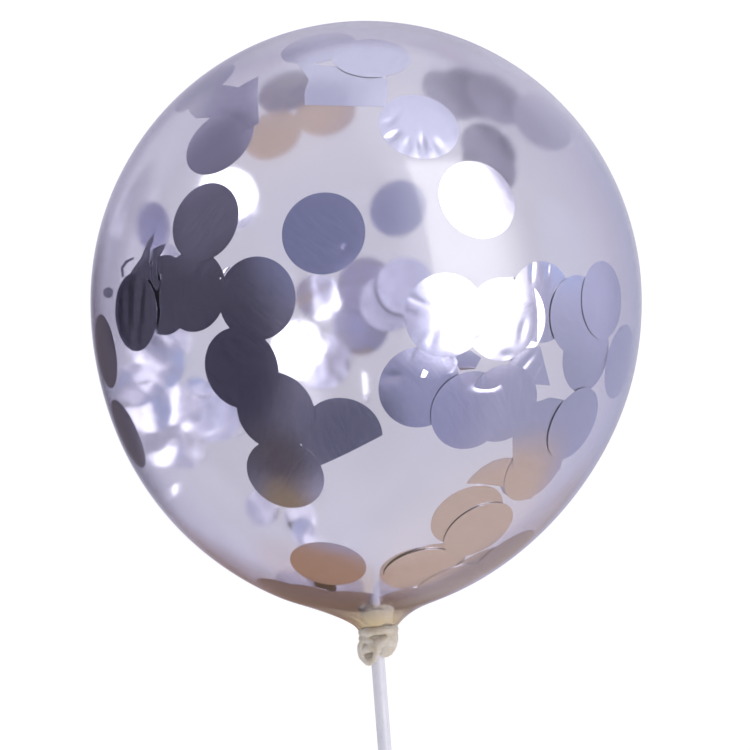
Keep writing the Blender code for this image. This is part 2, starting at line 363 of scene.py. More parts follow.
def foil_material():
    m, nt, p = new_material("silver_foil")
    p.inputs["Metallic"].default_value = 1.0
    uv = nt.nodes.new("ShaderNodeUVMap")
    uv.uv_map = "rolled"
    tone = nt.nodes.new("ShaderNodeAttribute")
    tone.attribute_name = "tone"
    # very faint rolling lines of the foil, at each disc's own angle
    stretch = node(nt, "ShaderNodeMapping")
    stretch.inputs["Scale"].default_value = (900.0, 90.0, 1.0)
    nt.links.new(uv.outputs[0], stretch.inputs["Vector"])
    lines = node(nt, "ShaderNodeTexNoise", Scale=1.0, Detail=3.0, Roughness=0.55)
    nt.links.new(stretch.outputs[0], lines.inputs["Vector"])
    coord = nt.nodes.new("ShaderNodeTexCoord")
    dents = node(nt, "ShaderNodeTexNoise", Scale=150.0, Detail=2.0, Roughness=0.5)
    nt.links.new(coord.outputs["Object"], dents.inputs["Vector"])
    col = ramp(nt, tone.outputs["Fac"], [(0.0, (0.800, 0.800, 0.815)), (1.0, (0.850, 0.850, 0.865))])
    worn = ramp(nt, lines.outputs["Fac"], grey((0.35, 0.965), (0.65, 1.0)))
    mul = node(nt, "ShaderNodeMix", data_type="RGBA", blend_type="MULTIPLY")
    mul.inputs[0].default_value = 1.0
    nt.links.new(col, mul.inputs[6])
    nt.links.new(worn, mul.inputs[7])
    nt.links.new(mul.outputs[2], p.inputs["Base Color"])
    rough = ramp(nt, lines.outputs["Fac"], grey((0.3, 0.15), (0.7, 0.20)))
    nt.links.new(rough, p.inputs["Roughness"])
    first = bump(nt, None, dents.outputs["Fac"], 0.10, 0.0006)
    bump(nt, p, lines.outputs["Fac"], 0.02, 0.0002, normal=first)
    return m


FILM_MAT = film_material()
KNOT_MAT = knot_material()
STICK_MAT = stick_material()
FOIL_MAT = foil_material()


def mesh_object(name, verts, faces, mat, sharp=None):
    me = bpy.data.meshes.new(name)
    me.from_pydata([tuple(map(float, v)) for v in verts], [], faces)
    me.update()
    me.shade_smooth()
    if sharp is not None:
        me.set_sharp_from_angle(angle=math.radians(sharp))
    me.materials.append(mat)
    ob = bpy.data.objects.new(name, me)
    bpy.context.scene.collection.objects.link(ob)
    return ob


# ------------------------------------------------------------------------ film
def film_profile():
    """Heights of the film's rings, evenly spaced along its profile."""
    n = 4000
    t = np.linspace(0.0, math.pi / 2, n)
    u = np.concatenate([CROWN_H * np.cos(t), -NECK_END * np.linspace(0, 1, n)[1:]])
    r = radius(u)
    run = np.concatenate([[0.0], np.cumsum(np.hypot(np.diff(u), np.diff(r)))])
    # closer rings at the neck
    weight = 1.0 + 2.2 * smooth((-u - 0.112) / 0.02)
    dens = np.concatenate([[0.0], np.cumsum(np.diff(run) * weight[1:])])
    rings = 190
    return np.interp(np.linspace(0.0, dens[-1], rings + 1)[1:], dens, u)


def neck_pleat(u, phi):
    """Folds of the skin where it is gathered into the knot."""
    rise = float(smooth((-u - 0.1290) / 0.012))
    if rise <= 0.0:
        return 0.0
    w = (math.sin(13.0 * phi + 0.8 * math.sin(3.0 * phi + 1.0)) * 0.6
         + math.sin(21.0 * phi + 2.0 + 1.1 * math.sin(2.0 * phi)) * 0.4)
    return -0.00034 * rise * (0.5 + 0.5 * w)


def make_film():
    us = film_profile()
    seg = 220
    e = 1e-5
    outer, inner = [], []
    for u in us:
        r, c = float(radius(u)), float(centre(u))
        if u > 0.0:                                # ellipse: normal by its equation
            na, nr = u / CROWN_H ** 2, r / WIDEST_R ** 2
        else:
            s = float((radius(min(u + e, 0.0)) - radius(u - e)) / (min(u + e, 0.0) - u + e))
            na, nr = -s, 1.0
        k = math.hypot(na, nr)
        na, nr = na / k, nr / k
        thick = FILM + 0.00030 * float(smooth((-u - 0.120) / 0.022))
        for j in range(seg):
            phi = 2.0 * math.pi * j / seg
            sx, cn = math.sin(phi), math.cos(phi)
            p = Vector((c + r * sx, u, r * cn))
            q = p * 17.0
            wob = 0.00005 * noise.noise(q) + 0.00003 * noise.noise(q * 2.3 + Vector((5, 1, 2)))
            out = wob + neck_pleat(u, phi)
            nv = Vector((nr * sx, na, nr * cn))
            outer.append(p + nv * out)
            inner.append(p + nv * (out - thick))
    rings = len(us)
    o = to_world(np.array(outer))
    i = to_world(np.array(inner))
    o[:, 2] = soft_floor(o[:, 2], 0.0)
    i[:, 2] = soft_floor(i[:, 2], FILM)
    top_o = to_world(np.array([[float(centre(CROWN_H)), CROWN_H, 0.0]]))
    top_i = to_world(np.array([[float(centre(CROWN_H)), CROWN_H - FILM, 0.0]]))
    verts = np.concatenate([o, i, top_o, top_i])
    base = rings * seg
    faces = []
    for k in range(rings - 1):
        for j in range(seg):
            a, b = k * seg + j, k * seg + (j + 1) % seg
            c, d = b + seg, a + seg
            faces.append((a, d, c, b))
            faces.append((base + a, base + b, base + c, base + d))
    for j in range(seg):
        a, b = j, (j + 1) % seg
        faces.append((2 * base, a, b))
        faces.append((2 * base + 1, base + b, base + a))
        a, b = (rings - 1) * seg + j, (rings - 1) * seg + (j + 1) % seg
        faces.append((a, base + a, base + b, b))
    return mesh_object("film", verts, faces, FILM_MAT)


# ------------------------------------------------------------------------ knot
def ellipsoid_into(bm, mid, radii, tilt=0.0, rings=24, sides=40):
    new = bmesh.ops.create_uvsphere(bm, u_segments=sides, v_segments=rings, radius=1.0)
    lean = Matrix.Rotation(tilt, 3, "Z")
    for v in new["verts"]:
        v.co = Vector(mid) + lean @ Vector((v.co.x * radii[0], v.co.z * radii[1],
                                            v.co.y * radii[2]))


def tube_into(bm, points, radii, sides=16, closed=False):
    """A round bar through points; radii is one number or one for each point."""
    n = len(points)
    if not isinstance(radii, (list, tuple)):
        radii = [radii] * n
    loops = []
    up = Vector((0.3, 0.2, 1.0)).normalized()
    for i, p in enumerate(points):
        a = points[(i - 1) % n] if (closed or i > 0) else p
        b = points[(i + 1) % n] if (closed or i < n - 1) else p
        d = (Vector(b) - Vector(a)).normalized()
        e1 = (up - d * up.dot(d)).normalized()
        up = e1
        e2 = d.cross(e1)
        loops.append([bm.verts.new(Vector(p) + (e1 * math.cos(2 * math.pi * k / sides)
                                                + e2 * math.sin(2 * math.pi * k / sides)) * radii[i])
                      for k in range(sides)])
    span = n if closed else n - 1
    for i in range(span):
        a, b = loops[i], loops[(i + 1) % n]
        for k in range(sides):
            bm.faces.new((a[k], a[(k + 1) % sides], b[(k + 1) % sides], b[k]))
    if not closed:
        bm.faces.new(list(reversed(loops[0])))
        bm.faces.new(loops[-1])


def make_knot():
    """The tied knot: a wrapped lump, turns of latex round it, and the rolled lip."""
    bm = bmesh.new()
    ellipsoid_into(bm, (0.0045, -0.1466, 0.0), (0.0068, 0.0063, 0.0066))
    ellipsoid_into(bm, (0.0086, -0.1462, 0.0020), (0.0052, 0.0076, 0.0066), tilt=-0.15)
    # the thick cream roll where the neck is tied off
    pts, bars = [], []
    for i in range(56):
        t = 2.0 * math.pi * i / 56
        pts.append((0.0051 + 0.0067 * math.cos(t), -0.1422 + 0.0007 * math.cos(t) + 0.0016 * math.sin(t),
                    0.0024 + 0.0072 * math.sin(t)))
        bars.append(0.0021 * (1.0 + 0.10 * math.sin(3.0 * t + 0.6)))
    tube_into(bm, pts, bars, closed=True)
    # turns round the neck
    for level, tilt, r, bar, lag in ((-0.1436, 17.0, 0.0067, 0.00125, 0.0),
                                     (-0.1455, 8.0, 0.0069, 0.00130, 1.3),
                                     (-0.1478, -10.0, 0.0062, 0.00140, 2.4)):
        pts, bars = [], []
        for i in range(48):
            t = 2.0 * math.pi * i / 48
            x, n = r * math.cos(t), r * math.sin(t) * 0.98
            y = x * math.tan(math.radians(tilt)) + 0.0004 * math.sin(2.0 * t + lag)
            pts.append((0.0045 + x, level + y, n))
            bars.append(bar * (1.0 + 0.18 * math.sin(3.0 * t + lag)))
        tube_into(bm, pts, bars, closed=True)
    # the strand that crosses the front of the knot, from upper right to lower left
    pts, bars = [], []
    for i in range(22):
        t = i / 21.0
        ang = math.radians(62.0 - 118.0 * t)
        pts.append((0.0052 + 0.0072 * math.sin(ang), -0.1425 - 0.0078 * t,
                    0.0072 * math.cos(ang) + 0.0002))
        bars.append(0.0017 + 0.0009 * math.sin(math.pi * t))
    tube_into(bm, pts, bars)
    # the open tail and its rolled lip
    aim = Vector((-0.40, -0.22, 0.89)).normalized()
    e1 = (Vector((1, 0, 0)) - aim * aim.x).normalized()
    e2 = aim.cross(e1)
    mid = Vector((0.0009, -0.1501, 0.0060))
    loops = []
    for back, k in ((0.0068, 0.62), (0.0046, 0.74), (0.0026, 0.88), (0.0010, 0.97), (0.0, 1.0),
                    (-0.0001, 0.78), (0.0008, 0.66), (0.0020, 0.46), (0.0026, 0.2)):
        ring = []
        for j in range(48):
            t = 2 * math.pi * j / 48
            f = 1.0 + 0.05 * math.sin(5 * t) * (1.0 if back > 0.001 else 0.4)
            ring.append(bm.verts.new(mid - aim * back + e1 * (0.0039 * k * f * math.cos(t))
                                     + e2 * (0.0051 * k * f * math.sin(t))))
        loops.append(ring)
    for a, b in zip(loops, loops[1:]):
        for j in range(48):
            bm.faces.new((a[j], a[(j + 1) % 48], b[(j + 1) % 48], b[j]))
    bm.faces.new(list(reversed(loops[0])))
    bm.faces.new(loops[-1])
    pts, bars = [], []
    for j in range(56):
        t = 2 * math.pi * j / 56
        wav = 1.0 + 0.05 * math.sin(3 * t + 0.7) + 0.03 * math.sin(7 * t)
        pts.append(mid + e1 * (0.0038 * wav * math.cos(t)) + e2 * (0.0050 * wav * math.sin(t))
                   + aim * (0.0003 * math.sin(2 * t)))
        bars.append(0.00145 * (1.0 + 0.12 * math.sin(4 * t + 1.0)))
    tube_into(bm, pts, bars, closed=True)
    bmesh.ops.recalc_face_normals(bm, faces=bm.faces[:])
    me = bpy.data.meshes.new("knot")
    bm.to_mesh(me)
    bm.free()
    ob = bpy.data.objects.new("knot", me)
    bpy.context.scene.collection.objects.link(ob)
    m = ob.modifiers.new("skin", "REMESH")
    m.mode = "VOXEL"
    m.voxel_size = 0.00024
    m.adaptivity = 0.0
    m = ob.modifiers.new("soft", "SMOOTH")
    m.factor = 0.5
    m.iterations = 5
    bake_modifiers(ob)
    # fine wrinkles that run round the knot, and creases across the lobe
    me = ob.data
    me.update()
    n = len(me.vertices)
    co = np.zeros(n * 3)
    no = np.zeros(n * 3)
    me.vertices.foreach_get("co", co)
    me.vertex_normals.foreach_get("vector", no)
    co, no = co.reshape(-1, 3), no.reshape(-1, 3)
    for i in range(n):
        x, a, z = co[i]
        t = math.atan2(z, x - 0.0045)
        w = math.sin(a * 5200.0 + 2.0 * math.sin(2.0 * t) + 1.5 * noise.noise(Vector(co[i]) * 260.0))
        v = noise.noise(Vector((x * 420.0, a * 900.0, z * 420.0)))
        near_lip = math.exp(-((Vector(co[i]) - mid).length / 0.006) ** 2)
        co[i] += no[i] * (0.00007 * w * (1.0 - near_lip) + 0.00010 * v)
    me.vertices.foreach_set("co", co.ravel())
    me.update()
    # the socket in which the stick sits
    d = Vector((math.sin(STICK_LEAN), -math.cos(STICK_LEAN), 0.0))
    bm = bmesh.new()
    top = Vector(STICK_TOP) - d * 0.0002
    tube_into(bm, [top, top + d * 0.020], STICK_OD / 2.0 + 0.00006, sides=48)
    bmesh.ops.recalc_face_normals(bm, faces=bm.faces[:])
    cm = bpy.data.meshes.new("socket")
    bm.to_mesh(cm)
    bm.free()
    cut = bpy.data.objects.new("socket", cm)
    bpy.context.scene.collection.objects.link(cut)
    m = ob.modifiers.new("cut", "BOOLEAN")
    m.operation = "DIFFERENCE"
    m.solver = "EXACT"
    m.object = cut
    bake_modifiers(ob)
    bpy.data.objects.remove(cut)
    ob.data.transform(PLACE)
    ob.data.materials.clear()
    ob.data.materials.append(KNOT_MAT)
    ob.data.shade_smooth()
    ob.data.set_sharp_from_angle(angle=math.radians(55.0))
    return ob


def bake_modifiers(ob):
    bpy.context.view_layer.update()
    dg = bpy.context.evaluated_depsgraph_get()
    me = bpy.data.meshes.new_from_object(ob.evaluated_get(dg))
    ob.modifiers.clear()
    old = ob.data
    ob.data = me
    bpy.data.meshes.remove(old)


# ----------------------------------------------------------------------- stick
def make_stick():
    """A drawn plastic tube with softly rounded rims."""
    d = Vector((math.sin(STICK_LEAN), -math.cos(STICK_LEAN), 0.0))
    top = Vector(STICK_TOP)
    e1 = Vector((0.0, 0.0, 1.0))
    e2 = d.cross(e1)
    ro, ri = STICK_OD / 2.0 - 0.00002, STICK_ID / 2.0
    soft = 0.00022
    outline = []                                    # (along, radius), down outside, up inside
    for k in range(5):
        t = math.pi / 2 * k / 4
        outline.append((soft - soft * math.cos(t), ro - soft + soft * math.sin(t)))
    for k in range(1, 60):
        outline.append((soft + (STICK_LENGTH - 2 * soft) * k / 60.0, ro))
    for k in range(5):
        t = math.pi / 2 * k / 4
        outline.append((STICK_LENGTH - soft + soft * math.sin(t), ro - soft + soft * math.cos(t)))
    for k in range(5):
        t = math.pi / 2 * k / 4
        outline.append((STICK_LENGTH - soft + soft * math.cos(t), ri + soft - soft * math.sin(t)))
    for k in range(1, 12):
        outline.append((STICK_LENGTH - soft - (STICK_LENGTH - 2 * soft) * k / 12.0, ri))
    for k in range(5):
        t = math.pi / 2 * k / 4
        outline.append((soft - soft * math.sin(t), ri + soft - soft * math.cos(t)))
    sides = 48
    verts, faces = [], []
    for along, r in outline:
        for j in range(sides):
            t = 2 * math.pi * j / sides
            verts.append(top + d * along + (e1 * math.cos(t) + e2 * math.sin(t)) * r)
    n = len(outline)
    for i in range(n):
        for j in range(sides):
            a, b = i * sides + j, i * sides + (j + 1) % sides
            c, e = ((i + 1) % n) * sides + (j + 1) % sides, ((i + 1) % n) * sides + j
            faces.append((a, b, c, e))
    verts = to_world(np.array(verts))
    verts[:, 2] = np.maximum(verts[:, 2], 0.0)
    ob = mesh_object("stick_tube", verts, faces, STICK_MAT, sharp=50.0)
    bm = bmesh.new()
    bm.from_mesh(ob.data)
    bmesh.ops.recalc_face_normals(bm, faces=bm.faces[:])
    bm.to_mesh(ob.data)
    bm.free()
    return ob


# -------------------------------------------------------------------- confetti
def bend(angle, at, slope, soft=0.6):
    """The part beyond a line is bent away from the film (mm, slope as a tangent)."""
    c, s = math.cos(math.radians(angle)), math.sin(math.radians(angle))
    return lambda x, y: slope * soft * math.log1p(math.exp(min((x * c + y * s - at) / soft, 40.0)))


def groove(angle, at, depth, width):
    """A pressed line: a ridge of a triangular section."""
    c, s = math.cos(math.radians(angle)), math.sin(math.radians(angle))
    return lambda x, y: depth * max(0.0, 1.0 - abs(x * c + y * s - at) / width)


def spoke(angle, depth, width, start=4.0):
    """A crease from the rim towards the middle."""
    c, s = math.cos(math.radians(angle)), math.sin(math.radians(angle))

    def f(x, y):
        run, off = x * c + y * s, -x * s + y * c
        return depth * float(smooth((run - start) / 8.0)) * max(0.0, 1.0 - abs(off) / width)
    return f


def dent(at_x, at_y, length, width, angle, depth):
    """A long pressed hollow about a point of the piece (mm, degrees)."""
    c, s = math.cos(math.radians(angle)), math.sin(math.radians(angle))

    def f(x, y):
        u, v = (x - at_x) * c + (y - at_y) * s, -(x - at_x) * s + (y - at_y) * c
        return depth * math.exp(-(u / length) ** 2 - (v / width) ** 2)
    return f


def ledge(at_x, at_y, length, width, angle, depth):
    """A pressed lens with one steep side and one that dies out slowly (mm, degrees)."""
    c, s = math.cos(math.radians(angle)), math.sin(math.radians(angle))

    def f(x, y):
        u, v = (x - at_x) * c + (y - at_y) * s, -(x - at_x) * s + (y - at_y) * c
        up = float(smooth(0.5 + 0.5 * v / width)) if v < width else math.exp(-((v - width) / (4.0 * width)) ** 2)
        return depth * math.exp(-(u / length) ** 2) * up
    return f


def wave(amount, size, seed):
    """Soft unevenness."""
    return lambda x, y: amount * (0.5 + 0.5 * noise.noise(Vector((x / size, y / size, seed))))


def crumple(amount, folds, seed):
    """Flat facets between sharp folds, as of foil that was crushed and opened again."""
    rnd = random.Random(seed)
    lines = [(rnd.uniform(0, 2 * math.pi), rnd.uniform(-9, 9), rnd.choice((-1, 1)) * rnd.uniform(0.4, 1.0))
             for _ in range(folds)]

    def f(x, y):
        h = 0.0
        for t, at, k in lines:
            h += k * abs(x * math.cos(t) + y * math.sin(t) - at)
        return amount * h / folds
    return f


class Foil:
    """Collects the discs of one group into one mesh."""

    def __init__(self, name):
        self.name = name
        self.verts, self.faces, self.uvs, self.tones = [], [], [], []

    def disc(self, px, py, side="near", layer=0, r=15.0, cuts=(), shape=None, folds=(),
             seed=0, fine=1, rise=0.0, face=None, curl=0.0, wide=1.0):
        """One piece at a pixel. r, rise and folds in mm; cuts are lines through two
        pixels that take away the far part; shape is an outline of pixels; face
        (lon, lat in degrees) stands the piece off the wall, so that from the front
        it mirrors that way, and curl then bows it (1 as much as the wall);
        wide stretches it crosswise."""
        gap = 0.00012 + 0.00034 * layer
        mid = seen_at(px, py, side, FILM + gap)
        out = wall = outward(mid[None])[0]
        if face is not None:
            lon, lat = math.radians(face[0]), math.radians(face[1])
            eye = np.array(EYE) - mid
            stand = eye / np.linalg.norm(eye) + np.array(
                [math.cos(lat) * math.sin(lon), math.sin(lat), math.cos(lat) * math.cos(lon)])
            stand /= np.linalg.norm(stand)
            out = stand * (1.0 if stand @ wall > 0.0 else -1.0)
        e1 = np.array([1.0, 0.0, 0.0]) - out * out[0]
        if np.linalg.norm(e1) < 0.25:
            e1 = np.array([0.0, 0.0, 1.0]) - out * out[2]
        e1 /= np.linalg.norm(e1)
        e2 = np.cross(out, e1)
        if e2[1] < 0.0:
            e2 = -e2

        def flat(q):
            if face is None:
                d = (seen_at(q[0], q[1], side, FILM + gap) - mid) * 1000.0
            else:
                ray = np.array([(q[0] - 375.0) / FOCAL, (375.0 - q[1]) / FOCAL, -1.0])
                d = (np.array(EYE) - mid) * 1000.0
                d = d - ray * (d @ out) / (ray @ out)
            return float(d @ e1), float(d @ e2)

        lines = []
        for a, b in cuts:
            (ax, ay), (bx, by) = flat(a), flat(b)
            nx, ny = by - ay, ax - bx
            k = math.hypot(nx, ny)
            nx, ny = nx / k, ny / k
            off = ax * nx + ay * ny
            if off < 0.0:
                nx, ny, off = -nx, -ny, -off
            lines.append((nx, ny, off))
        poly = [flat(q) for q in shape] if shape else None

        def reach(t):
            c, s = math.cos(t), math.sin(t)
            if poly:
                best = None
                for (ax, ay), (bx, by) in zip(poly, poly[1:] + poly[:1]):
                    den = c * (by - ay) - s * (bx - ax)
                    if abs(den) < 1e-12:
                        continue
                    k = (ax * (by - ay) - ay * (bx - ax)) / den
                    m = ((bx - ax) * s * 1.0 * 0 + (k * c - ax) * (bx - ax) + (k * s - ay) * (by - ay)) \
                        / ((bx - ax) ** 2 + (by - ay) ** 2)
                    if k > 0.0 and -1e-6 <= m <= 1.0 + 1e-6:
                        best = k if best is None else max(best, k)
                return best if best is not None else 0.5
            k = r
            for nx, ny, off in lines:
                den = nx * c + ny * s
                if den > 1e-9:
                    k = min(k, off / den)
            return k

        around = 56 * (2 if fine > 1 else 1)
        angles = [2 * math.pi * i / around for i in range(around)]
        corners = [math.atan2(y, x) % (2 * math.pi) for x, y in poly] if poly else []
        for nx, ny, off in lines:
            if off < r:
                t0, dt = math.atan2(ny, nx), math.acos(off / r)
                corners += [(t0 + dt) % (2 * math.pi), (t0 - dt) % (2 * math.pi)]
        for t in corners:
            k = min(range(len(angles)), key=lambda i: abs((angles[i] - t + math.pi) % (2 * math.pi) - math.pi))
            angles[k] = t
        angles = sorted(set(angles))
        around = len(angles)
        rings = 9 * fine if fine > 1 else 10
        rnd = random.Random(seed * 7919 + int(px * 13 + py * 7))
        tone = rnd.random()
        turn = rnd.uniform(0.0, math.pi)
        flatxy = [(0.0, 0.0)]
        for i in range(1, rings + 1):
            for t in angles:
                k = reach(t) * i / rings
                flatxy.append((k * math.cos(t) * wide, k * math.sin(t)))
        lift = np.array([sum(f(x, y) for f in folds) for x, y in flatxy]) if folds \
            else np.zeros(len(flatxy))
        lift = (lift - lift.min()) / 1000.0 + rise / 1000.0
        xy = np.array(flatxy) / 1000.0
        p = mid + xy[:, :1] * e1 + xy[:, 1:] * e2
        if face is None:
            p = onto_wall(p, FILM + gap)
            p = p - outward(p) * lift[:, None]
            q = p - outward(p) * FOIL
        else:
            bow = (xy ** 2).sum(1) / (2.0 * WIDEST_R) * curl
            p = p - out * (lift + bow)[:, None]
            # in from the wall, along the line of sight where that is not too oblique
            eye = np.array(EYE) - mid
            eye /= np.linalg.norm(eye)
            across = float(eye @ wall)
            way = -eye * math.copysign(1.0, across) if abs(across) > 0.35 else -wall
            for _ in range(12):
                p = p + way * max((depth_under(p) + FILM + gap).max(), 0.0) / max(abs(across), 0.35) \
                    if abs(across) > 0.35 else p + way * max((depth_under(p) + FILM + gap).max(), 0.0)
            q = p - out * FOIL
        pw, qw = to_world(p), to_world(q)
        low = FILM + 0.00006 + gap
        pw[:, 2] = np.maximum(pw[:, 2], low)
        qw[:, 2] = np.maximum(qw[:, 2], pw[:, 2] * 0 + low + FOIL) if (pw[:, 2] <= low + 1e-9).any() \
            else qw[:, 2]
        base = len(self.verts)
        count = len(pw)
        self.verts += [tuple(v) for v in pw] + [tuple(v) for v in qw]
        # the outline runs right-handed about out only if e1, e2, out are right-handed
        right = float(np.cross(e1, e2) @ out) > 0.0

        def add(f):
            self.faces.append(tuple(base + i for i in (f if right else reversed(f))))

        for j in range(around):
            k = (j + 1) % around
            add((0, 1 + j, 1 + k))
            add((count, count + 1 + k, count + 1 + j))
            for i in range(rings - 1):
                a, b = 1 + i * around + j, 1 + i * around + k
                c, d = b + around, a + around
                add((a, d, c, b))
                add((count + a, count + b, count + c, count + d))
            a, b = 1 + (rings - 1) * around + j, 1 + (rings - 1) * around + k
            add((a, count + a, count + b, b))
        ct, st = math.cos(turn), math.sin(turn)
        uv = [(x * ct - y * st + 0.1 * tone, x * st + y * ct) for x, y in xy]
        self.uvs += uv + uv
        self.tones += [tone] * (2 * count)

    def make(self):
        ob = mesh_object(self.name, self.verts, self.faces, FOIL_MAT, sharp=35.0)
        me = ob.data
        layer = me.uv_layers.new(name="rolled")
        index = np.zeros(len(me.loops), np.int32)
        me.loops.foreach_get("vertex_index", index)
        layer.data.foreach_set("uv", np.array(self.uvs, np.float32)[index].ravel())
        att = me.attributes.new("tone", "FLOAT", "POINT")
        att.data.foreach_set("value", np.array(self.tones, np.float32))
        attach(ob, "root")
        return ob


def soft_wave(seed, amount=0.07, size=7.0):
    return wave(amount, size, seed * 3.7 + 0.3)


def confetti():
    made = []
    # dark discs on the near left
    g = Foil("confetti_left")
    g.disc(323, 232.6, layer=0, fine=2, seed=1, folds=[
        soft_wave(1, 0.12, 5.0), dent(7.9, -5.5, 1.1, 0.9, 20, 0.42), dent(5.5, 0.0, 5.0, 1.2, 82, 0.05),
        dent(-3.0, 2.0, 6.0, 1.4, 95, 0.04)])
    g.disc(203.6, 221.3, layer=0, fine=2, seed=2, folds=[
        soft_wave(2, 0.12), dent(-0.6, -5.0, 10.0, 1.3, 94, 0.16), dent(7.5, 7.0, 3.0, 1.2, 25, 0.12)])
    g.disc(241, 104, layer=0, shape=[(258, 75), (259.5, 123), (253, 127), (246, 130), (232, 131.5),
                                     (223, 131.5), (217, 118), (222, 104), (232, 92), (244, 83)],
           folds=[soft_wave(4), bend(40, 3.5, 0.06), bend(220, 2.5, 0.05)], seed=4)
    g.disc(218.3, 140.2, layer=0.6, folds=[soft_wave(3), dent(1.0, -6.0, 4.0, 2.0, 70, 0.06)], seed=3)
    g.disc(255.8, 298.4, layer=0, folds=[soft_wave(5, 0.10), dent(-12.0, 7.0, 2.5, 0.9, 50, 0.25)],
           fine=2, seed=5)
    g.disc(192.2, 290.8, layer=0.6, fine=2, seed=6,
           folds=[soft_wave(6, 0.16), dent(2.0, 4.0, 6.0, 1.6, 60, 0.16), dent(-2.0, -9.0, 4.0, 3.0, 20, 0.20)])
    g.disc(240, 368.5, layer=0.6, folds=[soft_wave(7)], seed=7)
    g.disc(274.7, 412.2, layer=0, folds=[soft_wave(8)], seed=8)
    g.disc(341, 437, layer=1.2, cuts=[((381, 436), (324, 464))], fine=2, seed=9,
           folds=[soft_wave(9, 0.12), dent(5.0, 6.0, 3.5, 1.0, 60, 0.10), dent(8.5, -2.0, 2.5, 1.2, 40, 0.16)])
    g.disc(284.4, 475.2, layer=0.6, folds=[soft_wave(10, 0.08)], seed=10)
    g.disc(104, 351.5, layer=0, folds=[soft_wave(11)], seed=11)
    g.disc(126.5, 434.5, layer=0, folds=[soft_wave(12)], seed=12)
    g.disc(104.5, 292.5, layer=0, r=2.1, face=(-34, -2), seed=13)
    # two more that lie over each other along the upper left rim
    g.disc(217, 100, layer=1.3, shape=[(188, 108), (190, 113), (196, 118.5), (210, 118), (226, 112), (247, 100),
                                       (250, 91), (236, 87), (221, 85), (205, 95)], folds=[soft_wave(14)], seed=14)
    g.disc(203.5, 86.5, layer=1.9, folds=[soft_wave(15)], seed=15)
    # a bright sliver between two of them
    g.disc(225, 272, layer=0.3, shape=[(220, 279), (222, 272), (229, 266), (230, 268), (225, 274), (222, 280)],
           face=(36, 4), seed=16)
    made.append(g.make())

    # crushed pieces that stand off the left wall
    g = Foil("confetti_crushed_left")
    g.disc(133.5, 312, layer=1, fine=3, seed=17, folds=[
        dent(-4.5, 2.0, 10.0, 3.2, 88, 0.45), dent(4.0, 3.0, 9.0, 2.6, 82, 0.55),
        dent(0.0, -9.0, 4.5, 3.0, 100, 0.35), soft_wave(17, 0.20, 5.0)])
    g.disc(163, 295, layer=3.4, fine=3, seed=18, folds=[
        dent(-4.0, 1.0, 9.0, 1.5, 78, 0.50), dent(0.5, -3.0, 3.0, 1.6, 20, 0.40), dent(4.0, 4.0, 7.0, 1.8, 100, 0.45),
        soft_wave(18, 0.35, 4.0)])
    g.disc(141, 258, layer=2, fine=2, seed=19, folds=[bend(95, -2.0, 0.06), dent(0, 0, 8.0, 0.8, 70, 0.12)],
           shape=[(127, 280), (132, 271), (139, 262), (143, 252), (147, 241), (154, 231), (153, 240),
                  (150, 249), (150, 262), (152, 280)])
    g.disc(152, 262, layer=3, fine=2, seed=20, folds=[bend(80, -2.0, 0.08), dent(0, 0, 6.0, 0.7, 50, 0.10)],
           shape=[(145, 280), (148, 262), (150, 250), (157, 246), (165, 243), (161, 253), (156, 262), (158, 280)])
    for shape in (((134, 257), (126, 260.5), (127, 263), (134, 259.5)),
                  ((126, 260), (121, 268), (123.3, 269), (128, 262.5)),
                  ((121, 267), (122, 277), (124.5, 277), (123.6, 268))):
        mx, my = (sum(v[i] for v in shape) / 4.0 for i in (0, 1))
        g.disc(mx, my, layer=1.5, shape=list(shape), face=(-34, -4), seed=21)
    made.append(g.make())

    # bright and slate discs on the near right
    g = Foil("confetti_right")
    g.disc(478.2, 198.6, layer=0, folds=[soft_wave(21, 0.05)], seed=21)
    g.disc(503, 319.5, layer=0, fine=3, seed=23,
           folds=[soft_wave(23, 0.08), bend(-32, 4.5, 0.022, 0.8), dent(6.5, 7.5, 3.2, 0.8, -8, 0.16),
                  dent(4.5, 3.5, 2.6, 0.7, 4, 0.10), dent(8.5, -4.0, 1.6, 4.0, -14, 0.18),
                  dent(-10.5, -7.5, 4.2, 1.3, 38, 0.20), dent(2.0, -13.0, 2.0, 1.6, -10, 0.14)])
    g.disc(512, 319, layer=0.8, r=15, face=(45, -7), curl=0.7, wide=0.9, seed=24, folds=[soft_wave(24, 0.08)])
    g.disc(445.9, 315.4, layer=0.5, fine=3, seed=22,
           folds=[soft_wave(22, 0.08), bend(212, 4.0, 0.030, 1.0), dent(-11.0, 5.6, 4.0, 1.0, -22, 0.20),
                  dent(-13.5, 1.0, 3.4, 1.3, -8, 0.16), dent(-4.5, -8.0, 1.8, 5.0, -24, 0.20),
                  dent(-9.5, -8.0, 3.6, 1.5, 30, 0.12)])
    g.disc(419.5, 124.7, layer=0, fine=3, seed=25,
           folds=[soft_wave(25, 0.08), dent(-9.5, 2.5, 1.6, 5.5, -30, 0.20), dent(-12.0, 0.0, 3.0, 1.6, 30, 0.20),
                  dent(-10.0, -6.5, 3.6, 1.7, 38, 0.55), dent(1.0, -9.0, 1.7, 5.0, 4, 0.50),
                  dent(-4.5, -9.5, 1.6, 4.0, -12, 0.22), dent(7.5, -9.0, 1.8, 4.2, 24, 0.30)])
